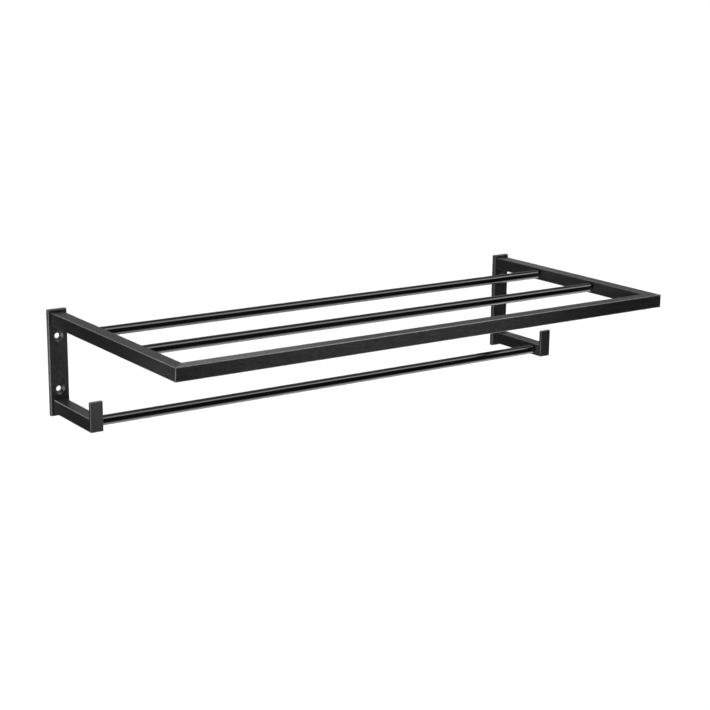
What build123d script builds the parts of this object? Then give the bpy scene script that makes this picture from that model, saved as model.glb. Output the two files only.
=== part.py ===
from build123d import *
import os

# A wall-mounted towel rack: a U-shaped shelf frame of square bar with two round rods across it,
# and a round towel rail on two short arms below. Sizes are in millimetres. X runs along the rack,
# +Y into the wall and +Z up. The origin is on the wall face, in the middle of the four screw holes.

# Square bar of the shelf frame and the rail arms
bar_side = 14.0
bar_edge_radius = 0.9

# Shelf frame
rack_width = 600.0  # between the outer faces of the two shelf arms
shelf_depth = 268.0  # from the wall to the front face of the front bar
shelf_arm_drop = 2.8  # from the top of a wall plate down to the top of its shelf arm

# Wall plates and their countersunk screw holes
plate_width = 20.4
plate_height = 112.0
plate_thickness = 5.0
plate_edge_radius = 0.6
screw_spacing = 56.0
screw_hole_diameter = 6.0
countersink_diameter = 11.0
countersink_angle = 90

# Rail arms and the upturned hook plates on their ends
rail_arm_reach = 90.5  # from the wall to the front face of a hook plate
rail_arm_rise = 3.2  # from the foot of a wall plate up to the underside of its rail arm
hook_height = 31.2
hook_thickness = 3.0
hook_edge_radius = 0.6

# Round rods and the towel rail; a set-back is from a front face to the rod's axis behind it
shelf_rod_diameter = 10.0
rear_rod_reach = 81.0  # from the wall to the rod's axis
front_rod_set_back = 97.0  # behind the front face of the front bar
towel_rail_diameter = 10.4
towel_rail_set_back = 14.0  # behind the front faces of the hook plates
rod_end_chamfer = 0.5

# Blind sockets in the arms; the left ones are deeper, so that a rod can be slid in from between
socket_engagement = 5.6
socket_clearance = 0.1
slide_in_room = 0.3

# Grub screws that lock the rods from below
grub_diameter = 3.0
grub_length = 3.0
grub_recess = 0.2
grub_clearance = 0.05
grub_tip_chamfer = 0.3
key_size = 1.5
key_depth = 1.2
pocket_clearance = 0.3

# Places worked out from the sizes
half_width = rack_width / 2
inner_x = half_width - bar_side
bar_x = half_width - bar_side / 2
shelf_z = plate_height / 2 - shelf_arm_drop - bar_side / 2
shelf_underside = shelf_z - bar_side / 2
rail_z = rail_arm_rise + bar_side / 2 - plate_height / 2
rail_underside = rail_z - bar_side / 2
mitre_outer_x = half_width + bar_side  # two points on the right mitre's line, past both sides of the bar
mitre_outer_y = -shelf_depth - bar_side
mitre_inner_x = inner_x - bar_side
mitre_inner_y = 2 * bar_side - shelf_depth
hook_back = rail_arm_reach - hook_thickness
front_rod_reach = shelf_depth - front_rod_set_back
towel_rail_reach = rail_arm_reach - towel_rail_set_back
rod_half_length = inner_x + socket_engagement
grub_x = inner_x + socket_engagement / 2
grub_reach_up = grub_recess + grub_length

sides = {"left": -1, "right": 1}
socket_depths = {"left": 2 * socket_engagement + slide_in_room, "right": socket_engagement}
shelf_rod_reaches = (rear_rod_reach, front_rod_reach)

os.makedirs("parts", exist_ok=True)


def finish_piece(piece, label):
    """Name a finished piece and write it out."""
    piece.label = label
    export_step(piece, f"parts/{label}.step")


def cut_mitres(*corners):
    """Keep what lies inside a plan whose slanting sides pass through the mitre joints."""
    with BuildSketch(Plane.XY.offset(shelf_z)) as plan:
        with BuildLine():
            Polyline(*corners, close=True)
        make_face()
    extrude(plan.sketch, amount=bar_side, both=True, mode=Mode.INTERSECT)


def round_front_corners():
    """Round the shelf frame's two upright front corners, where the mitres come out."""
    centre_x = half_width - bar_edge_radius
    centre_y = bar_edge_radius - shelf_depth
    with BuildSketch(Plane.XY.offset(shelf_z)) as tips:
        with Locations((-half_width, -shelf_depth), (half_width, -shelf_depth)):
            Rectangle(2 * bar_edge_radius, 2 * bar_edge_radius)
        with Locations((-centre_x, centre_y), (centre_x, centre_y)):
            Circle(bar_edge_radius, mode=Mode.SUBTRACT)
    extrude(tips.sketch, amount=bar_side, both=True, mode=Mode.SUBTRACT)


def rod_seats(side, reaches, axis_z, rod_diameter):
    """What is cut from an arm: its blind sockets, and the grub screw holes up into them."""
    sign = sides[side]
    with BuildPart() as seats:
        with BuildSketch(Plane.YZ.offset(sign * inner_x)):
            with Locations(*[(-reach, axis_z) for reach in reaches]):
                Circle(rod_diameter / 2 + socket_clearance)
        extrude(amount=sign * socket_depths[side])
        with BuildSketch(Plane.XY.offset(axis_z - bar_side / 2)):
            with Locations(*[(sign * grub_x, -reach) for reach in reaches]):
                Circle(grub_diameter / 2 + grub_clearance)
        extrude(amount=bar_side / 2)
    return seats.part


def round_rod(reach, axis_z, diameter):
    """A rod seated in both sockets, with a flat pocket under each end for its grub screw."""
    with BuildPart() as rod:
        with BuildSketch(Plane.YZ.offset(-rod_half_length)):
            with Locations((-reach, axis_z)):
                Circle(diameter / 2)
        extrude(amount=2 * rod_half_length)
        chamfer(rod.edges().filter_by(GeomType.CIRCLE), rod_end_chamfer)
        with BuildSketch(Plane.XY.offset(axis_z - bar_side / 2 + grub_reach_up)):
            with Locations((-grub_x, -reach), (grub_x, -reach)):
                Circle(grub_diameter / 2 + pocket_clearance)
        extrude(amount=-bar_side / 2, mode=Mode.SUBTRACT)
    return rod


# Wall plates
for side, sign in sides.items():
    with BuildPart(Plane.XZ.offset(plate_thickness)) as wall_plate:
        with BuildSketch(Plane.XZ.offset(plate_thickness)):
            with Locations((sign * bar_x, 0)):
                Rectangle(plate_width, plate_height)
        extrude(amount=-plate_thickness)
        fillet(wall_plate.faces().sort_by(Axis.Y)[0].edges(), plate_edge_radius)
        with Locations((sign * bar_x, screw_spacing / 2), (sign * bar_x, -screw_spacing / 2)):
            CounterSinkHole(
                radius=screw_hole_diameter / 2,
                counter_sink_radius=countersink_diameter / 2,
                depth=plate_thickness,
                counter_sink_angle=countersink_angle,
            )
    finish_piece(wall_plate.part, f"{side}_wall_plate")

# Shelf arms, mitred at the front corners
for side, sign in sides.items():
    seats = rod_seats(side, shelf_rod_reaches, shelf_z, shelf_rod_diameter)
    with BuildPart() as shelf_arm:
        with BuildSketch(Plane.XZ.offset(plate_thickness)):
            with Locations((sign * bar_x, shelf_z)):
                RectangleRounded(bar_side, bar_side, bar_edge_radius)
        extrude(amount=shelf_depth - plate_thickness)
        cut_mitres(
            (sign * mitre_outer_x, 0),
            (sign * mitre_outer_x, mitre_outer_y),
            (sign * mitre_inner_x, mitre_inner_y),
            (sign * mitre_inner_x, 0),
        )
        round_front_corners()
        add(seats, mode=Mode.SUBTRACT)
    finish_piece(shelf_arm.part, f"{side}_shelf_arm")

# Front bar, mitred at both ends
with BuildPart() as front_shelf_bar:
    with BuildSketch(Plane.YZ.offset(-half_width)):
        with Locations((bar_side / 2 - shelf_depth, shelf_z)):
            RectangleRounded(bar_side, bar_side, bar_edge_radius)
    extrude(amount=rack_width)
    cut_mitres(
        (-mitre_outer_x, mitre_outer_y),
        (mitre_outer_x, mitre_outer_y),
        (mitre_inner_x, mitre_inner_y),
        (-mitre_inner_x, mitre_inner_y),
    )
    round_front_corners()
finish_piece(front_shelf_bar.part, "front_shelf_bar")

# Rail arms, and the hook plates that close their ends and stand up past them
for side, sign in sides.items():
    seats = rod_seats(side, (towel_rail_reach,), rail_z, towel_rail_diameter)
    with BuildPart() as rail_arm:
        with BuildSketch(Plane.XZ.offset(plate_thickness)):
            with Locations((sign * bar_x, rail_z)):
                RectangleRounded(bar_side, bar_side, bar_edge_radius)
        extrude(amount=hook_back - plate_thickness)
        add(seats, mode=Mode.SUBTRACT)
    finish_piece(rail_arm.part, f"{side}_rail_arm")

    with BuildPart() as hook_plate:
        with BuildSketch(Plane.XZ.offset(hook_back)):
            with Locations((sign * bar_x, rail_underside + hook_height / 2)):
                RectangleRounded(bar_side, hook_height, bar_edge_radius)
        extrude(amount=hook_thickness)
        fillet(hook_plate.faces().sort_by(Axis.Y)[0].edges(), hook_edge_radius)
    finish_piece(hook_plate.part, f"{side}_hook_plate")

# Shelf rods and towel rail
rear_shelf_rod = round_rod(rear_rod_reach, shelf_z, shelf_rod_diameter)
finish_piece(rear_shelf_rod.part, "rear_shelf_rod")
front_shelf_rod = round_rod(front_rod_reach, shelf_z, shelf_rod_diameter)
finish_piece(front_shelf_rod.part, "front_shelf_rod")
towel_rail = round_rod(towel_rail_reach, rail_z, towel_rail_diameter)
finish_piece(towel_rail.part, "towel_rail")

# Grub screws, one under each end of the two rods and the rail, with a hexagonal key socket below
with BuildPart() as rod_grub_screws:
    for underside, reaches in ((shelf_underside, shelf_rod_reaches), (rail_underside, (towel_rail_reach,))):
        places = [(sign * grub_x, -reach) for sign in sides.values() for reach in reaches]
        with BuildSketch(Plane.XY.offset(underside + grub_recess)):
            with Locations(*places):
                Circle(grub_diameter / 2)
        extrude(amount=grub_length)
        with BuildSketch(Plane.XY.offset(underside + grub_recess)):
            with Locations(*places):
                RegularPolygon(key_size / 2, 6, major_radius=False)
        extrude(amount=key_depth, mode=Mode.SUBTRACT)
    tips = rod_grub_screws.faces().filter_by(Axis.Z)
    tips = [face for face in tips if face.normal_at().Z > 0 and face.area > key_size**2]
    chamfer([edge for face in tips for edge in face.edges()], grub_tip_chamfer)
finish_piece(rod_grub_screws.part, "rod_grub_screws")
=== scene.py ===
import math

import bmesh
import bpy
from bpy.props import FloatProperty, FloatVectorProperty, IntProperty, PointerProperty
from mathutils import Matrix, Vector


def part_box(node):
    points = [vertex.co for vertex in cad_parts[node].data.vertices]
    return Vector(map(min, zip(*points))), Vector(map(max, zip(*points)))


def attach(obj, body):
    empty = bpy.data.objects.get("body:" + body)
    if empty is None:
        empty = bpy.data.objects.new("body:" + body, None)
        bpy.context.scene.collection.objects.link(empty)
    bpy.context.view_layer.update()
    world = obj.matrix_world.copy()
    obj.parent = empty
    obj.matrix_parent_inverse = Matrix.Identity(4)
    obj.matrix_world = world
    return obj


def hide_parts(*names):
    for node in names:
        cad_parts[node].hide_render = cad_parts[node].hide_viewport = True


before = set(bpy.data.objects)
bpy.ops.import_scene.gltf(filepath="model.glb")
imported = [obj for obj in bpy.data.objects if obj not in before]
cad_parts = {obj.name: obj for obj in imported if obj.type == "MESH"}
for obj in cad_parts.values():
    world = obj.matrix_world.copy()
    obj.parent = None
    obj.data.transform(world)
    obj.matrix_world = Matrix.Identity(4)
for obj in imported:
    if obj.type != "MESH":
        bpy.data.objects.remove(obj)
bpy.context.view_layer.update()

bl_info = {
    "name": "Wall Towel Rack",
    "version": (1, 0, 0),
    "blender": (4, 5, 0),
    "location": "3D View > Sidebar > Towel Rack",
    "description": "Dresses a wall-mounted towel rack with its textured frame, glossy rods and studio",
    "category": "Object",
}

WELDED_PIECES = (
    "left_wall_plate", "right_wall_plate", "left_shelf_arm", "right_shelf_arm", "front_shelf_bar",
    "left_rail_arm", "right_rail_arm", "left_hook_plate", "right_hook_plate",
)
ROD_NODES = ("rear_shelf_rod", "front_shelf_rod", "towel_rail")
SCREW_NODE = "rod_grub_screws"

# The right wall plate, which the left one mirrors, and how wide the steps are at their cut sides
PLATE_LOW, PLATE_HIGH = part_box("right_wall_plate")
PLATE_MIDDLE_X = (PLATE_LOW.x + PLATE_HIGH.x) / 2
PLATE_HALF_WIDTH = (PLATE_HIGH.x - PLATE_LOW.x) / 2
CUT_SIDE_STEP = 0.00015

# Share of a face's normal along its nearest axis: on flat faces, and where an edge has turned away
EDGE_SQUARE = 0.995
EDGE_TURNED = 0.93

# Upward share of an edge's normal: where it starts to count as a top edge, and where it is one
EDGE_LEVEL = 0.1
EDGE_UPWARD = 0.5

# How far behind the plates' front faces the edges' painted highlight and polish fade out
EDGE_DEPTH = 0.0004

# Levels of the grain's noise at a pebble's foot and crown
PEBBLE_FOOT = 0.35
PEBBLE_CROWN = 0.65

# Grub screws: their places from the CAD, how finely the thread is drawn, and shares of their end faces
SCREW_LOW, SCREW_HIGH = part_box(SCREW_NODE)
SCREW_DIAMETER = 0.003
SCREW_LENGTH = 0.003
SHELF_SCREW_Z = SCREW_HIGH.z - SCREW_LENGTH / 2
RAIL_SCREW_Z = SCREW_LOW.z + SCREW_LENGTH / 2
SCREW_PLACES = ("Rear Rod", "Front Rod", "Towel Rail")
SCREW_COLUMNS = 48
SCREW_ROWS = 36
KEY_MOUTH_GROWTH = 1.06
CUP_SHARE = 0.55
TINY = 1e-6

# The floor's disc, and the camera's sensor in millimetres and its reach against the floor's radius
FLOOR_SEGMENTS = 96
FLOOR_ROUGHNESS = 0.9
SENSOR_WIDTH = 36.0
CAMERA_REACH = 4.0

# Soft lights far off, as arcs round the rack's long axis in degrees, where 0 is the room and 90 is up:
# the start and half its blur, then the end and half its blur
OVERHEAD_ARC = (45.0, 5.0, 76.0, 14.0)
UNDERSIDE_ARC = (-117.0, 13.0, -60.0, 21.0)
ROOM_LEFT_ARC = (-120.0, 8.0, 30.0, 8.0)
WALL_RIGHT_ARC = (100.0, 10.0, 175.0, 5.0)
WALL_LEFT_ARC = (115.0, 10.0, 165.0, 10.0)

# How those lights fade along the rack, where -1 is straight left and 1 straight right: half the step
# at the middle, then where each fade is dark and where it is full
MIDDLE_FADE = 0.1
RIGHT_END_FADE = (0.9, 0.75)
ROOM_LEFT_FADE = (-0.25, -0.65)

# Radii of the fills' own soft bulbs
BAR_FILL_BULB = 0.05
SMALL_FILL_BULB = 0.02


def screw_middle(rod, z):
    """The middle of the grub screw under a rod's right end, at a known height."""
    rod_low, rod_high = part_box(rod)
    return (SCREW_HIGH.x - SCREW_DIAMETER / 2, (rod_low.y + rod_high.y) / 2, z)


# Shader maths and node building

class Wire:
    """A socket in a node tree that can be used in sums; each operator adds a Math node."""

    def __init__(self, kit, socket):
        self.kit = kit
        self.socket = socket

    def maths(self, operation, *values):
        inputs = dict(enumerate((self,) + values))
        return self.kit.add("ShaderNodeMath", {"operation": operation}, inputs).out()

    def __add__(self, other):
        return self.maths("ADD", other)

    def __radd__(self, other):
        return self.maths("ADD", other)

    def __sub__(self, other):
        return self.maths("SUBTRACT", other)

    def __rsub__(self, other):
        inputs = {0: other, 1: self}
        return self.kit.add("ShaderNodeMath", {"operation": "SUBTRACT"}, inputs).out()

    def __mul__(self, other):
        return self.maths("MULTIPLY", other)

    def __rmul__(self, other):
        return self.maths("MULTIPLY", other)

    def __truediv__(self, other):
        return self.maths("DIVIDE", other)

    def __abs__(self):
        return self.maths("ABSOLUTE")

    def at_least(self, other):
        return self.maths("MAXIMUM", other)

    def smooth_between(self, low, high):
        """0 below low and 1 above high, with an eased step between; low may be the larger."""
        inputs = {"Value": self, "From Min": low, "From Max": high}
        settings = {"interpolation_type": "SMOOTHSTEP", "clamp": True}
        return self.kit.add("ShaderNodeMapRange", settings, inputs).out("Result")


class MadeNode:
    """A node that has been added, whose outputs are read as wires."""

    def __init__(self, kit, node):
        self.kit = kit
        self.node = node

    def out(self, name=0):
        return Wire(self.kit, self.node.outputs[name])


class NodeKit:
    """Builds one node tree from types, settings and inputs."""

    def __init__(self, tree):
        self.tree = tree
        self.tree.nodes.clear()

    def add(self, node_type, settings=None, inputs=None):
        node = self.tree.nodes.new(node_type)
        for name, value in (settings or {}).items():
            setattr(node, name, value)
        for name, value in (inputs or {}).items():
            if isinstance(value, Wire):
                self.tree.links.new(value.socket, node.inputs[name])
            else:
                node.inputs[name].default_value = value
        return MadeNode(self, node)


def grey(level):
    return (level, level, level, 1.0)


def surface_material(name, slot_colour):
    """An empty node material, with the colour that a plain viewport shows."""
    material = bpy.data.materials.new(name)
    material.use_nodes = True
    material.diffuse_color = tuple(slot_colour) + (1.0,)
    return material, NodeKit(material.node_tree)


def noise(kit, point, size, detail):
    """Noise from 0 to 1 whose blotches are about as large as size; detail counts its finer layers."""
    inputs = {"Vector": point, "Scale": 1.0 / size, "Detail": detail}
    return kit.add("ShaderNodeTexNoise", {"noise_dimensions": "3D"}, inputs).out("Fac")


def swung(level, contrast):
    """A factor round 1, which a level from 0 to 1 swings down or up by contrast at most."""
    return 1.0 - contrast + level * (2.0 * contrast)


def toned(kit, colour, tone):
    """The colour times a tone, which may be more than 1."""
    settings = {"data_type": "RGBA", "blend_type": "MIX", "clamp_factor": False}
    inputs = {"Factor": tone, "A": grey(0.0), "B": tuple(colour) + (1.0,)}
    return kit.add("ShaderNodeMix", settings, inputs).out("Result")


def plate_side_mask(kit, point):
    """1 on the narrow upright sides of the two wall plates, which a painted sheen makes paler and where the
    coat is less rough.
    """
    parts = kit.add("ShaderNodeSeparateXYZ", None, {0: point})
    from_middle = abs(abs(parts.out("X")) - PLATE_MIDDLE_X)
    side_end = PLATE_HALF_WIDTH - CUT_SIDE_STEP
    at_side = from_middle.smooth_between(side_end - CUT_SIDE_STEP, side_end)
    at_wall = parts.out("Y").smooth_between(PLATE_LOW.y - CUT_SIDE_STEP, PLATE_LOW.y)
    return at_side * at_wall


def edge_highlight_and_polish_mask(kit, point, low_share):
    """1 on rounded edges that face up and low_share on the others, where a painted highlight makes the coat
    paler and the coat is polished.
    """
    facing = kit.add("ShaderNodeTexCoord").out("Normal")
    parts = kit.add("ShaderNodeSeparateXYZ", None, {0: facing})
    up = parts.out("Z")
    squarest = abs(parts.out("X")).at_least(abs(parts.out("Y"))).at_least(abs(up))
    turned = squarest.smooth_between(EDGE_SQUARE, EDGE_TURNED)
    depth = kit.add("ShaderNodeSeparateXYZ", None, {0: point}).out("Y")
    off_wall = depth.smooth_between(PLATE_LOW.y + EDGE_DEPTH, PLATE_LOW.y)
    top_edge = up.smooth_between(EDGE_LEVEL, EDGE_UPWARD)
    return turned * off_wall * (low_share + top_edge * (1.0 - low_share))


def textured_coat(coat):
    """Matt black powder coat: a fine pebbled grain, faint blotches and tiny paler specks, with a painted
    highlight on rounded top edges and a painted sheen on the plates' cut sides.
    """
    material, kit = surface_material("textured_black_coat", coat.colour)
    point = kit.add("ShaderNodeTexCoord").out("Object")
    grain = noise(kit, point, coat.grain_size, detail=0.0)
    mottle = noise(kit, point, coat.mottle_size, detail=1.0)
    blotch = noise(kit, point, coat.blotch_size, detail=3.0)
    speck_cells = kit.add("ShaderNodeTexVoronoi", {"feature": "F1"},
                          {"Vector": point, "Scale": 1.0 / coat.speck_spacing})
    speck = speck_cells.out("Distance").smooth_between(coat.speck_share, 0.0)
    pebble = grain.smooth_between(PEBBLE_FOOT, PEBBLE_CROWN)
    plate_side = plate_side_mask(kit, point)
    edge = edge_highlight_and_polish_mask(kit, point, coat.low_edge_share)
    tone = swung(blotch, coat.blotch_contrast) * swung(pebble, coat.grain_contrast)
    tone = tone * swung(mottle, coat.mottle_contrast) + speck * coat.speck_gain
    # Painted sheen: the plates' cut sides are made paler, standing in for reflected light
    tone = tone * (1.0 + plate_side * (coat.plate_side_gain - 1.0))
    # Painted highlight: rounded edges, the top ones most, are made paler
    tone = tone * (1.0 + edge * (coat.edge_highlight_gain - 1.0))
    height = grain + speck * coat.speck_height_share + mottle * coat.mottle_height_share
    bump = kit.add("ShaderNodeBump", None,
                   {"Height": height, "Strength": coat.grain_strength, "Distance": coat.grain_height})
    roughness = coat.roughness + (pebble - 0.5) * coat.roughness_swing
    roughness = roughness + plate_side * (coat.plate_side_roughness - coat.roughness)
    roughness = roughness - edge * coat.edge_polish
    shader = kit.add("ShaderNodeBsdfPrincipled", None, {
        "Base Color": toned(kit, coat.colour, tone),
        "Roughness": roughness,
        "Specular IOR Level": coat.gloss_level,
        "Normal": bump.out("Normal"),
    })
    kit.add("ShaderNodeOutputMaterial", None, {"Surface": shader.out("BSDF")})
    return material


def glossy_black(rods):
    """Smooth black lacquer over drawn rod, with faint lengthwise lines under the gloss."""
    material, kit = surface_material("smooth_black_lacquer", rods.colour)
    point = kit.add("ShaderNodeTexCoord").out("Object")
    stretched = kit.add("ShaderNodeMapping", {"vector_type": "POINT"},
                        {"Vector": point, "Scale": (rods.line_stretch, 1.0, 1.0)}).out("Vector")
    lines = noise(kit, stretched, rods.line_size, detail=2.0)
    ripple = noise(kit, point, rods.ripple_size, detail=1.0)
    bump = kit.add("ShaderNodeBump", None,
                   {"Height": ripple, "Strength": rods.ripple_strength, "Distance": rods.ripple_height})
    shader = kit.add("ShaderNodeBsdfPrincipled", None, {
        "Base Color": toned(kit, rods.colour, swung(lines, rods.line_contrast)),
        "Roughness": rods.roughness + (lines - 0.5) * rods.roughness_swing,
        "Specular IOR Level": rods.gloss_level,
        "Normal": bump.out("Normal"),
    })
    kit.add("ShaderNodeOutputMaterial", None, {"Surface": shader.out("BSDF")})
    return material


def black_oxide(screws):
    """Black oxide on steel: dull metal with a slightly uneven tone."""
    material, kit = surface_material("black_oxide_steel", screws.colour)
    point = kit.add("ShaderNodeTexCoord").out("Object")
    bloom = noise(kit, point, screws.bloom_size, detail=3.0)
    shader = kit.add("ShaderNodeBsdfPrincipled", None, {
        "Base Color": toned(kit, screws.colour, swung(bloom, screws.bloom_contrast)),
        "Metallic": 1.0,
        "Roughness": screws.roughness + (bloom - 0.5) * screws.bloom_contrast,
    })
    kit.add("ShaderNodeOutputMaterial", None, {"Surface": shader.out("BSDF")})
    return material


# Grub screws

def tree_with_inputs(name, kinds):
    """An empty Geometry Nodes group with named inputs; each kind is a socket type's ending."""
    tree = bpy.data.node_groups.new(name, "GeometryNodeTree")
    for title, kind in kinds.items():
        tree.interface.new_socket(title, in_out="INPUT", socket_type="NodeSocket" + kind)
    tree.interface.new_socket("Geometry", in_out="OUTPUT", socket_type="NodeSocketGeometry")
    return tree


def threaded_body(kit, given):
    """A bar with its thread cut as a helix, which runs out into a chamfer at both ends."""
    radius = given.out("Diameter") * 0.5
    body = kit.add("GeometryNodeMeshCylinder", {"fill_type": "NGON"}, {
        "Vertices": SCREW_COLUMNS, "Side Segments": SCREW_ROWS,
        "Radius": radius, "Depth": given.out("Length")})
    place = kit.add("GeometryNodeInputPosition").out()
    parts = kit.add("ShaderNodeSeparateXYZ", None, {0: place})
    x, y, z = parts.out("X"), parts.out("Y"), parts.out("Z")
    turns = z / given.out("Pitch") - y.maths("ARCTAN2", x) / math.tau
    groove = abs(turns.maths("FRACT") * 2.0 - 1.0)
    from_end = given.out("Length") * 0.5 - abs(z)
    cut = groove * from_end.smooth_between(0.0, given.out("Pitch")) * given.out("Thread Depth")
    cut = cut + from_end.smooth_between(given.out("Chamfer"), 0.0) * given.out("Chamfer")
    shrink = (radius - cut) / radius
    moved = kit.add("ShaderNodeCombineXYZ", None, {"X": x * shrink, "Y": y * shrink, "Z": z})
    shaped = kit.add("GeometryNodeSetPosition", None,
                     {"Geometry": body.out("Mesh"), "Position": moved.out()})
    return shaped.out("Geometry"), body


def inset(kit, mesh, face, share):
    """Draw a smaller copy of an end face inside it."""
    doubled = kit.add("GeometryNodeExtrudeMesh", {"mode": "FACES"},
                      {"Mesh": mesh, "Selection": face, "Offset Scale": 0.0, "Individual": False})
    scaled = kit.add("GeometryNodeScaleElements", {"domain": "FACE"},
                     {"Geometry": doubled.out("Mesh"), "Selection": doubled.out("Top"), "Scale": share})
    return scaled.out("Geometry"), doubled.out("Top")


def key_socket(kit, given, mesh, end_face):
    """A hexagonal socket with a small countersink round its mouth."""
    end_radius = given.out("Diameter") * 0.5 - given.out("Chamfer")
    apothem = given.out("Key Size") * 0.5
    mouth_radius = apothem * (KEY_MOUTH_GROWTH / math.cos(math.pi / 6))
    mesh, mouth = inset(kit, mesh, end_face, mouth_radius / end_radius)
    mesh, throat = inset(kit, mesh, mouth, 1.0)
    place = kit.add("GeometryNodeInputPosition").out()
    parts = kit.add("ShaderNodeSeparateXYZ", None, {0: place})
    x, y, z = parts.out("X"), parts.out("Y"), parts.out("Z")
    sixth = math.pi / 3
    turned = y.maths("ARCTAN2", x).maths("FLOORED_MODULO", sixth) - sixth / 2
    across = apothem / turned.maths("COSINE")
    share = across / (x * x + y * y).maths("SQRT").at_least(TINY)
    hexagon = kit.add("ShaderNodeCombineXYZ", None,
                      {"X": x * share, "Y": y * share, "Z": z + given.out("Mouth Depth")})
    moved = kit.add("GeometryNodeSetPosition", None,
                    {"Geometry": mesh, "Selection": throat, "Position": hexagon.out()})
    sunk = kit.add("GeometryNodeExtrudeMesh", {"mode": "FACES"}, {
        "Mesh": moved.out("Geometry"), "Selection": throat, "Individual": False,
        "Offset Scale": given.out("Mouth Depth") - given.out("Key Depth")})
    return sunk.out("Mesh")


def cup_point(kit, given, mesh, end_face):
    """The hollow in the end that bites into a rod's flat."""
    mesh, hollow = inset(kit, mesh, end_face, CUP_SHARE)
    drop = kit.add("ShaderNodeCombineXYZ", None, {"Z": 0.0 - given.out("Mouth Depth")})
    moved = kit.add("GeometryNodeSetPosition", None,
                    {"Geometry": mesh, "Selection": hollow, "Offset": drop.out()})
    return moved.out("Geometry")


def grub_screw_tree():
    """Geometry Nodes group: a socket-set grub screw under both ends of each rod."""
    sizes = ("Diameter", "Length", "Pitch", "Thread Depth", "Chamfer")
    key_sizes = ("Key Size", "Key Depth", "Mouth Depth")
    kinds = {title: "Float" for title in sizes + key_sizes}
    kinds.update({title: "Vector" for title in SCREW_PLACES})
    kinds.update({"Seed": "Int", "Material": "Material"})
    tree = tree_with_inputs("rod_grub_screws", kinds)
    kit = NodeKit(tree)
    given = kit.add("NodeGroupInput")
    mesh, body = threaded_body(kit, given)
    mesh = key_socket(kit, given, mesh, body.out("Bottom"))
    mesh = cup_point(kit, given, mesh, body.out("Top"))
    pairs = kit.add("GeometryNodeJoinGeometry")
    for title in SCREW_PLACES:
        other_end = kit.add("ShaderNodeVectorMath", {"operation": "MULTIPLY"},
                            {0: given.out(title), 1: (-1.0, 1.0, 1.0)}).out("Vector")
        pair = kit.add("GeometryNodeMeshLine", {"mode": "END_POINTS"},
                       {"Count": 2, "Start Location": given.out(title), "Offset": other_end})
        kit.tree.links.new(pair.out("Mesh").socket, pairs.node.inputs["Geometry"])
    spin = kit.add("FunctionNodeRandomValue", {"data_type": "FLOAT"},
                   {"Max": math.tau, "Seed": given.out("Seed")}).out("Value")
    turn = kit.add("ShaderNodeCombineXYZ", None, {"Z": spin})
    placed = kit.add("GeometryNodeInstanceOnPoints", None,
                     {"Points": pairs.out("Geometry"), "Instance": mesh, "Rotation": turn.out()})
    real = kit.add("GeometryNodeRealizeInstances", None, {"Geometry": placed.out("Instances")})
    finished = kit.add("GeometryNodeSetMaterial", None,
                       {"Geometry": real.out("Geometry"), "Material": given.out("Material")})
    kit.add("NodeGroupOutput", None, {"Geometry": finished.out("Geometry")})
    return tree


# Settings

class RackCoatSettings(bpy.types.PropertyGroup):
    colour: FloatVectorProperty(
        name="Coat colour", description="Base colour of the textured coat", subtype="COLOR",
        size=3, default=(0.0075, 0.0075, 0.0079), min=0.0, max=1.0)
    roughness: FloatProperty(
        name="Roughness", description="How dull the coat is", default=0.36, min=0.0, max=1.0)
    # Painted sheen on the plates' cut sides: how much paler their colour is made
    plate_side_gain: FloatProperty(
        name="Plate side gain", description="How much paler the wall plates' cut sides are", default=3.6)
    plate_side_roughness: FloatProperty(
        name="Plate side roughness", description="How dull the plates' cut sides are", default=0.3,
        min=0.0, max=1.0)
    roughness_swing: FloatProperty(
        name="Roughness swing", description="How much the grain changes the roughness", default=0.13)
    gloss_level: FloatProperty(
        name="Gloss level", description="Strength of the coat's reflection", default=0.5, min=0.0, max=1.0)
    grain_size: FloatProperty(
        name="Grain size", description="Width of one pebble of the coat", default=0.0011, unit="LENGTH")
    grain_height: FloatProperty(
        name="Grain height", description="Height of the pebbles", default=0.0002, unit="LENGTH")
    grain_strength: FloatProperty(
        name="Grain strength", description="How strongly the pebbles catch light", default=0.5)
    grain_contrast: FloatProperty(
        name="Grain contrast", description="How much the tone changes from pebble to pebble", default=0.25)
    # Painted highlight on rounded edges: how much paler their colour is made
    edge_highlight_gain: FloatProperty(
        name="Edge gain", description="How much paler the coat is on rounded top edges", default=10.5)
    low_edge_share: FloatProperty(
        name="Low edge share", description="How pale the other edges are, against the top ones",
        default=0.25)
    edge_polish: FloatProperty(
        name="Edge polish", description="How much less rough the coat is on rounded edges", default=0.05)
    mottle_size: FloatProperty(
        name="Mottle size", description="Width of the coat's uneven mottling", default=0.0021,
        unit="LENGTH")
    mottle_contrast: FloatProperty(
        name="Mottle contrast", description="How much the mottling changes the tone", default=0.35)
    mottle_height_share: FloatProperty(
        name="Mottle height share", description="Height of the mottling, against a pebble", default=1.4)
    blotch_size: FloatProperty(
        name="Blotch size", description="Width of the faint blotches", default=0.012, unit="LENGTH")
    blotch_contrast: FloatProperty(
        name="Blotch contrast", description="How much the blotches change the tone", default=0.2)
    speck_spacing: FloatProperty(
        name="Speck spacing", description="Distance between pale specks", default=0.0024, unit="LENGTH")
    speck_share: FloatProperty(
        name="Speck share", description="Share of the spacing that a speck fills", default=0.16)
    speck_gain: FloatProperty(
        name="Speck gain", description="How much paler a speck is", default=0.8)
    speck_height_share: FloatProperty(
        name="Speck height share", description="How far a speck stands up, against a pebble", default=0.5)


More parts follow.
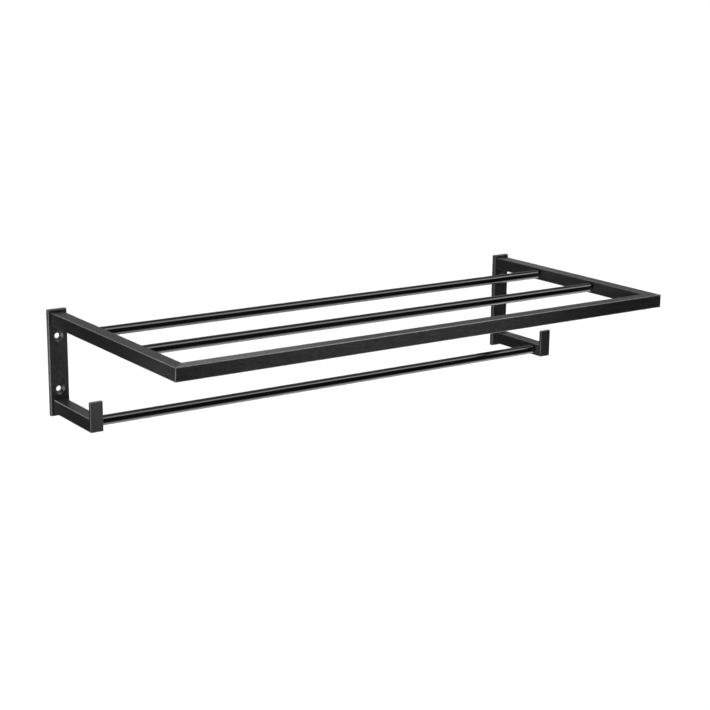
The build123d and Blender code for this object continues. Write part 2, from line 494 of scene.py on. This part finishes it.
class RackRodSettings(bpy.types.PropertyGroup):
    colour: FloatVectorProperty(
        name="Rod colour", description="Base colour of the lacquered rods", subtype="COLOR",
        size=3, default=(0.0012, 0.0012, 0.0013), min=0.0, max=1.0)
    roughness: FloatProperty(
        name="Roughness", description="How dull the lacquer is", default=0.13, min=0.0, max=1.0)
    roughness_swing: FloatProperty(
        name="Roughness swing", description="How much the drawn lines change the roughness", default=0.06)
    gloss_level: FloatProperty(
        name="Gloss level", description="Strength of the lacquer's reflection", default=0.5,
        min=0.0, max=1.0)
    line_size: FloatProperty(
        name="Line size", description="Width of the drawn lines", default=0.0008, unit="LENGTH")
    line_stretch: FloatProperty(
        name="Line stretch", description="Width of a line against its length", default=0.02)
    line_contrast: FloatProperty(
        name="Line contrast", description="How much the lines change the tone", default=0.25)
    ripple_size: FloatProperty(
        name="Ripple size", description="Width of the lacquer's gentle ripples", default=0.006,
        unit="LENGTH")
    ripple_height: FloatProperty(
        name="Ripple height", description="Height of the ripples", default=0.0001, unit="LENGTH")
    ripple_strength: FloatProperty(
        name="Ripple strength", description="How strongly the ripples bend reflections", default=0.15)


class RackScrewSettings(bpy.types.PropertyGroup):
    colour: FloatVectorProperty(
        name="Screw colour", description="Colour of the blackened grub screws", subtype="COLOR",
        size=3, default=(0.09, 0.09, 0.095), min=0.0, max=1.0)
    roughness: FloatProperty(
        name="Roughness", description="How dull the blackened steel is", default=0.4, min=0.0, max=1.0)
    bloom_size: FloatProperty(
        name="Bloom size", description="Width of the uneven patches", default=0.0012, unit="LENGTH")
    bloom_contrast: FloatProperty(
        name="Bloom contrast", description="How uneven the tone is", default=0.2)
    diameter: FloatProperty(
        name="Diameter", description="Outside of the thread", default=SCREW_DIAMETER, unit="LENGTH")
    length: FloatProperty(
        name="Length", description="From the key end to the point", default=SCREW_LENGTH, unit="LENGTH")
    pitch: FloatProperty(
        name="Pitch", description="From one thread to the next", default=0.0005, unit="LENGTH")
    thread_depth: FloatProperty(
        name="Thread depth", description="Depth of the thread's groove", default=0.00027, unit="LENGTH")
    chamfer: FloatProperty(
        name="Chamfer", description="How much narrower the ends are", default=0.0002, unit="LENGTH")
    key_size: FloatProperty(
        name="Key size", description="Across the flats of the hexagonal socket", default=0.0015,
        unit="LENGTH")
    key_depth: FloatProperty(
        name="Key depth", description="Depth of the hexagonal socket", default=0.0012, unit="LENGTH")
    mouth_depth: FloatProperty(
        name="Mouth depth", description="Depth of the countersink round the socket", default=0.0001,
        unit="LENGTH")
    rear_rod: FloatVectorProperty(
        name="Rear rod", description="Middle of the screw under the rear shelf rod's right end",
        subtype="TRANSLATION", unit="LENGTH", size=3,
        default=screw_middle("rear_shelf_rod", SHELF_SCREW_Z))
    front_rod: FloatVectorProperty(
        name="Front rod", description="Middle of the screw under the front shelf rod's right end",
        subtype="TRANSLATION", unit="LENGTH", size=3,
        default=screw_middle("front_shelf_rod", SHELF_SCREW_Z))
    towel_rail: FloatVectorProperty(
        name="Towel rail", description="Middle of the screw under the towel rail's right end",
        subtype="TRANSLATION", unit="LENGTH", size=3,
        default=screw_middle("towel_rail", RAIL_SCREW_Z))
    seed: IntProperty(
        name="Seed", description="How far each screw happens to be turned", default=7)


class RackStageSettings(bpy.types.PropertyGroup):
    camera_place: FloatVectorProperty(
        name="Camera place", description="Where the camera stands", subtype="TRANSLATION", unit="LENGTH",
        size=3, default=(-0.95615, -1.48910, 0.41113))
    camera_yaw: FloatProperty(
        name="Camera yaw", description="How far the camera turns right from facing the wall",
        subtype="ANGLE", default=0.6080)
    camera_pitch: FloatProperty(
        name="Camera pitch", description="How far the camera looks down", subtype="ANGLE", default=0.2450)
    camera_roll: FloatProperty(
        name="Camera roll", description="How far the camera leans left", subtype="ANGLE", default=0.0121)
    camera_lens: FloatProperty(
        name="Camera lens", description="Focal length in millimetres on a 36 mm sensor", default=81.492)
    floor_drop: FloatProperty(
        name="Floor drop", description="How far the floor lies below the screw holes' middle",
        default=1.5, unit="LENGTH")
    floor_radius: FloatProperty(
        name="Floor radius", description="Radius of the round floor", default=60.0, unit="LENGTH")
    floor_tone: FloatProperty(
        name="Floor tone", description="How pale the floor is", default=0.86, min=0.0, max=1.0)
    backdrop_level: FloatProperty(
        name="Backdrop level", description="Brightness of the plain backdrop beyond the floor", default=1.0)
    overhead_level: FloatProperty(
        name="Overhead light", description="Brightness of the soft light above the room", default=4.6)
    underside_level: FloatProperty(
        name="Underside light", description="Brightness reflected from straight below", default=2.9)
    room_left_level: FloatProperty(
        name="Room light, left", description="Brightness of the room's left end, low down", default=4.2)
    wall_right_level: FloatProperty(
        name="Wall light, right", description="Brightness behind the wall's right half", default=0.38)
    wall_left_level: FloatProperty(
        name="Wall light, left", description="Brightness behind the wall's left half, high up", default=0.9)
    floor_light_level: FloatProperty(
        name="Floor light", description="Wide light from above that brightens the floor, in W/m2",
        default=1.38)
    gleam_size: FloatProperty(
        name="Gleam size", description="Width of the two lamps that gleam in the bars' tops", default=0.4,
        unit="LENGTH")
    bar_gleam_power: FloatProperty(
        name="Bar gleam power", description="Watts of the gleam in the front bar's left end", default=0.2)
    bar_gleam_place: FloatVectorProperty(
        name="Bar gleam place", description="Where its lamp hangs", subtype="TRANSLATION", unit="LENGTH",
        size=3, default=(0.17, 0.56, 0.29))
    bar_gleam_aim: FloatVectorProperty(
        name="Bar gleam aim", description="What its lamp points at", subtype="TRANSLATION", unit="LENGTH",
        size=3, default=(-0.26, -0.261, 0.053))
    arm_gleam_power: FloatProperty(
        name="Arm gleam power", description="Watts of the gleam in the right arm's wall end", default=0.09)
    arm_gleam_place: FloatVectorProperty(
        name="Arm gleam place", description="Where its lamp hangs", subtype="TRANSLATION", unit="LENGTH",
        size=3, default=(0.93, 0.85, 0.24))
    arm_gleam_aim: FloatVectorProperty(
        name="Arm gleam aim", description="What its lamp points at", subtype="TRANSLATION", unit="LENGTH",
        size=3, default=(0.293, -0.02, 0.053))
    back_light_level: FloatProperty(
        name="Back light", description="Light from behind that shows on the rack's back, in W/m2",
        default=10.0)
    back_light_spread: FloatProperty(
        name="Back light spread", description="How wide that light is", subtype="ANGLE", default=0.1)
    bar_fill_power: FloatProperty(
        name="Bar fill power", description="Watts of the spot on the front bar's middle", default=230.0)
    bar_fill_cone: FloatProperty(
        name="Bar fill cone", description="Full angle of that spot", subtype="ANGLE", default=0.38)
    bar_fill_place: FloatVectorProperty(
        name="Bar fill place", description="Where that spot stands", subtype="TRANSLATION", unit="LENGTH",
        size=3, default=(0.35, -1.6, -0.25))
    bar_fill_aim: FloatVectorProperty(
        name="Bar fill aim", description="What that spot points at", subtype="TRANSLATION",
        unit="LENGTH", size=3, default=(-0.06, -0.268, 0.046))
    corner_fill_power: FloatProperty(
        name="Corner fill power", description="Watts of the fill at the left front corner", default=0.85)
    corner_fill_place: FloatVectorProperty(
        name="Corner fill place", description="Where that fill hangs", subtype="TRANSLATION", unit="LENGTH",
        size=3, default=(-0.36, -0.245, 0.01))
    plate_fill_power: FloatProperty(
        name="Plate fill power", description="Watts of the fill at the left wall plate", default=0.8)
    plate_fill_place: FloatVectorProperty(
        name="Plate fill place", description="Where that fill hangs", subtype="TRANSLATION", unit="LENGTH",
        size=3, default=(-0.38, 0.018, 0.0))
    hook_fill_power: FloatProperty(
        name="Hook fill power", description="Watts of the fill at the left hook plate", default=0.18)
    hook_fill_place: FloatVectorProperty(
        name="Hook fill place", description="Where that fill hangs", subtype="TRANSLATION", unit="LENGTH",
        size=3, default=(-0.297, -0.14, -0.037))
    far_fill_power: FloatProperty(
        name="Far fill power", description="Watts of the fill before the right plate and hook",
        default=0.65)
    far_fill_place: FloatVectorProperty(
        name="Far fill place", description="Where that fill hangs", subtype="TRANSLATION", unit="LENGTH",
        size=3, default=(0.22, -0.15, -0.06))


# Operators

class RackOperator:
    """What the operators of this rack share."""

    bl_options = {"REGISTER", "UNDO"}

    def give_material(self, node, material):
        """Put one material on a carried-over piece; its mesh stays as it is."""
        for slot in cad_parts[node].material_slots:
            slot.material = material


class RACK_OT_coat_frame(RackOperator, bpy.types.Operator):
    """Give the welded plates, arms, bar and hooks their textured black coat"""

    bl_idname = "rack.coat_frame"
    bl_label = "Coat Frame"

    def execute(self, context):
        coat = textured_coat(context.scene.rack_coat)
        for node in WELDED_PIECES:
            self.give_material(node, coat)
        return {"FINISHED"}


class RACK_OT_finish_rods(RackOperator, bpy.types.Operator):
    """Give the two shelf rods and the towel rail their smooth black lacquer"""

    bl_idname = "rack.finish_rods"
    bl_label = "Finish Rods"

    def execute(self, context):
        lacquer = glossy_black(context.scene.rack_rods)
        for node in ROD_NODES:
            self.give_material(node, lacquer)
        return {"FINISHED"}


class RACK_OT_make_screws(RackOperator, bpy.types.Operator):
    """Make the six threaded grub screws under the rod ends, in black oxide steel"""

    bl_idname = "rack.make_screws"
    bl_label = "Make Grub Screws"

    def execute(self, context):
        screws = context.scene.rack_screws
        steel = black_oxide(screws)
        self.give_material(SCREW_NODE, steel)
        tree = grub_screw_tree()
        piece = bpy.data.objects.new("threaded_grub_screws", bpy.data.meshes.new("threaded_grub_screws"))
        context.collection.objects.link(piece)
        modifier = piece.modifiers.new("grub_screws", "NODES")
        modifier.node_group = tree
        for socket in tree.interface.items_tree:
            if socket.in_out == "INPUT" and socket.name == "Material":
                modifier[socket.identifier] = steel
            elif socket.in_out == "INPUT":
                modifier[socket.identifier] = getattr(screws, socket.name.lower().replace(" ", "_"))
        self.make_plain_mesh(context, piece)
        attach(piece, "root")
        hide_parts(SCREW_NODE)
        return {"FINISHED"}

    def make_plain_mesh(self, context, piece):
        """Keep what the modifier makes as an ordinary mesh, with its doubles merged, and remove it."""
        evaluated = piece.evaluated_get(context.evaluated_depsgraph_get())
        mesh = bpy.data.meshes.new_from_object(evaluated)
        piece.modifiers.clear()
        piece.data = mesh
        shape = bmesh.new()
        shape.from_mesh(mesh)
        bmesh.ops.remove_doubles(shape, verts=shape.verts, dist=TINY)
        bmesh.ops.recalc_face_normals(shape, faces=shape.faces)
        shape.to_mesh(mesh)
        shape.free()


class RACK_OT_build_stage(RackOperator, bpy.types.Operator):
    """Lay the pale floor, light it softly and set the camera"""

    bl_idname = "rack.build_stage"
    bl_label = "Build Stage"

    def execute(self, context):
        stage = context.scene.rack_stage
        self.lay_floor(context, stage)
        self.light_world(context, stage)
        self.add_bar_fill(context, stage)
        self.add_wide_lights(context, stage)
        self.add_small_fills(context, stage)
        self.add_gleams(context, stage)
        self.set_camera(context, stage)
        context.scene.view_settings.view_transform = "Standard"
        return {"FINISHED"}

    def lay_floor(self, context, stage):
        """A wide pale disc that lights the rack from below but shows in no reflection."""
        mesh = bpy.data.meshes.new("floor")
        disc = bmesh.new()
        bmesh.ops.create_circle(disc, cap_ends=True, radius=stage.floor_radius, segments=FLOOR_SEGMENTS,
                                matrix=Matrix.Translation((0.0, 0.0, -stage.floor_drop)))
        disc.to_mesh(mesh)
        disc.free()
        floor = bpy.data.objects.new("floor", mesh)
        context.collection.objects.link(floor)
        material, kit = surface_material("pale_floor", [stage.floor_tone] * 3)
        shader = kit.add("ShaderNodeBsdfPrincipled", None, {
            "Base Color": grey(stage.floor_tone), "Roughness": FLOOR_ROUGHNESS, "Specular IOR Level": 0.0})
        kit.add("ShaderNodeOutputMaterial", None, {"Surface": shader.out("BSDF")})
        mesh.materials.append(material)
        floor.visible_glossy = False

    def light_world(self, context, stage):
        """Soft lights far off, and the plain backdrop that the camera sees in their place."""
        world = bpy.data.worlds.new("soft_studio")
        world.use_nodes = True
        context.scene.world = world
        kit = NodeKit(world.node_tree)
        direction = kit.add("ShaderNodeTexCoord").out("Generated")
        parts = kit.add("ShaderNodeSeparateXYZ", None, {0: direction})
        x, y, z = parts.out("X"), parts.out("Y"), parts.out("Z")
        angle = z.maths("ARCTAN2", 0.0 - y)
        on_right = x.smooth_between(-MIDDLE_FADE, MIDDLE_FADE)
        on_left = x.smooth_between(MIDDLE_FADE, -MIDDLE_FADE)
        short_of_end = on_right * x.smooth_between(*RIGHT_END_FADE)
        overhead = short_of_end * self.arc(angle, *OVERHEAD_ARC)
        underside = short_of_end * self.arc(angle, *UNDERSIDE_ARC)
        room_left = x.smooth_between(*ROOM_LEFT_FADE) * self.arc(angle, *ROOM_LEFT_ARC)
        wall_right = on_right * self.arc(angle, *WALL_RIGHT_ARC)
        wall_left = on_left * self.arc(angle, *WALL_LEFT_ARC)
        level = (overhead * stage.overhead_level + underside * stage.underside_level
                 + room_left * stage.room_left_level + wall_right * stage.wall_right_level
                 + wall_left * stage.wall_left_level)
        white = grey(1.0)
        lights = kit.add("ShaderNodeBackground", None, {"Color": white, "Strength": level})
        backdrop = kit.add("ShaderNodeBackground", None,
                           {"Color": white, "Strength": stage.backdrop_level})
        seen = kit.add("ShaderNodeLightPath").out("Is Camera Ray")
        shown = kit.add("ShaderNodeMixShader", None,
                        {0: seen, 1: lights.out("Background"), 2: backdrop.out("Background")})
        kit.add("ShaderNodeOutputWorld", None, {"Surface": shown.out("Shader")})

    def arc(self, angle, start, start_blur, end, end_blur):
        """1 between two angles round the rack's long axis and 0 beyond them, with blurred ends."""
        rise = angle.smooth_between(math.radians(start - start_blur), math.radians(start + start_blur))
        fall = angle.smooth_between(math.radians(end + end_blur), math.radians(end - end_blur))
        return rise * fall

    def add_bar_fill(self, context, stage):
        """A soft-edged spot on the middle of the front bar."""
        fill = bpy.data.lights.new("bar_fill", "SPOT")
        fill.energy = stage.bar_fill_power
        fill.spot_size = stage.bar_fill_cone
        fill.spot_blend = 1.0
        fill.shadow_soft_size = BAR_FILL_BULB
        self.place_lamp(context, fill, self.pointed(stage.bar_fill_place, stage.bar_fill_aim))

    def add_wide_lights(self, context, stage):
        """A wide light from above for the floor, and a narrow one from straight behind for the back."""
        floor_light = bpy.data.lights.new("floor_light", "SUN")
        floor_light.energy = stage.floor_light_level
        floor_light.angle = math.pi
        self.place_lamp(context, floor_light, Matrix.Identity(4))
        back_light = bpy.data.lights.new("back_light", "SUN")
        back_light.energy = stage.back_light_level
        back_light.angle = stage.back_light_spread
        self.place_lamp(context, back_light, Matrix.Rotation(-math.pi / 2, 4, "X"))

    def add_small_fills(self, context, stage):
        """Small bulbs near the plates, hooks and left corner, which brighten the coat there."""
        for name in ("corner_fill", "plate_fill", "hook_fill", "far_fill"):
            fill = bpy.data.lights.new(name, "POINT")
            fill.energy = getattr(stage, name + "_power")
            fill.shadow_soft_size = SMALL_FILL_BULB
            self.place_lamp(context, fill, Matrix.Translation(getattr(stage, name + "_place")))

    def add_gleams(self, context, stage):
        """Soft lamps behind the wall that each gleam in the top of one bar only."""
        for name, node in (("bar_gleam", "front_shelf_bar"), ("arm_gleam", "right_shelf_arm")):
            gleam = bpy.data.lights.new(name, "AREA")
            gleam.shape = "DISK"
            gleam.size = stage.gleam_size
            gleam.energy = getattr(stage, name + "_power")
            place = self.pointed(getattr(stage, name + "_place"), getattr(stage, name + "_aim"))
            lamp = self.place_lamp(context, gleam, place)
            lamp.visible_glossy = True
            lit = bpy.data.collections.new(name)
            lit.objects.link(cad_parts[node])
            lamp.light_linking.receiver_collection = lit

    def pointed(self, place, aim):
        """The matrix of a lamp that stands at place and points at aim."""
        turn = (Vector(aim) - Vector(place)).to_track_quat("-Z", "Y").to_matrix().to_4x4()
        return Matrix.Translation(place) @ turn

    def place_lamp(self, context, light, matrix):
        """Hang a lamp that the camera doesn't see and that no surface reflects."""
        lamp = bpy.data.objects.new(light.name, light)
        lamp.matrix_world = matrix
        lamp.visible_camera = False
        lamp.visible_glossy = False
        context.collection.objects.link(lamp)
        return lamp

    def set_camera(self, context, stage):
        """Stand the camera where the photograph was taken from."""
        data = bpy.data.cameras.new("photo_camera")
        data.sensor_width = SENSOR_WIDTH
        data.lens = stage.camera_lens
        data.clip_end = CAMERA_REACH * stage.floor_radius
        camera = bpy.data.objects.new("photo_camera", data)
        context.collection.objects.link(camera)
        turn = Matrix.Rotation(-stage.camera_yaw, 4, "Z")
        tilt = Matrix.Rotation(math.pi / 2 - stage.camera_pitch, 4, "X")
        lean = Matrix.Rotation(stage.camera_roll, 4, "Z")
        camera.matrix_world = Matrix.Translation(Vector(stage.camera_place)) @ turn @ tilt @ lean
        context.scene.camera = camera


class RACK_PT_panel(bpy.types.Panel):
    """Lists the steps that dress the rack, and their settings"""

    bl_label = "Towel Rack"
    bl_idname = "RACK_PT_panel"
    bl_space_type = "VIEW_3D"
    bl_region_type = "UI"
    bl_category = "Towel Rack"

    def draw(self, context):
        for operator in OPERATORS:
            self.layout.operator(operator.bl_idname)
        for name in SETTINGS:
            settings = getattr(context.scene, name)
            box = self.layout.box()
            for prop in settings.__annotations__:
                box.prop(settings, prop)


OPERATORS = (RACK_OT_coat_frame, RACK_OT_finish_rods, RACK_OT_make_screws, RACK_OT_build_stage)
SETTINGS = {
    "rack_coat": RackCoatSettings,
    "rack_rods": RackRodSettings,
    "rack_screws": RackScrewSettings,
    "rack_stage": RackStageSettings,
}


def register():
    for settings in SETTINGS.values():
        bpy.utils.register_class(settings)
    for operator in OPERATORS:
        bpy.utils.register_class(operator)
    bpy.utils.register_class(RACK_PT_panel)
    for name, settings in SETTINGS.items():
        setattr(bpy.types.Scene, name, PointerProperty(type=settings))


def unregister():
    for name in SETTINGS:
        delattr(bpy.types.Scene, name)
    bpy.utils.unregister_class(RACK_PT_panel)
    for operator in reversed(OPERATORS):
        bpy.utils.unregister_class(operator)
    for settings in reversed(list(SETTINGS.values())):
        bpy.utils.unregister_class(settings)


def main():
    register()
    bpy.ops.rack.coat_frame()
    bpy.ops.rack.finish_rods()
    bpy.ops.rack.make_screws()
    bpy.ops.rack.build_stage()


if __name__ == "__main__":
    main()
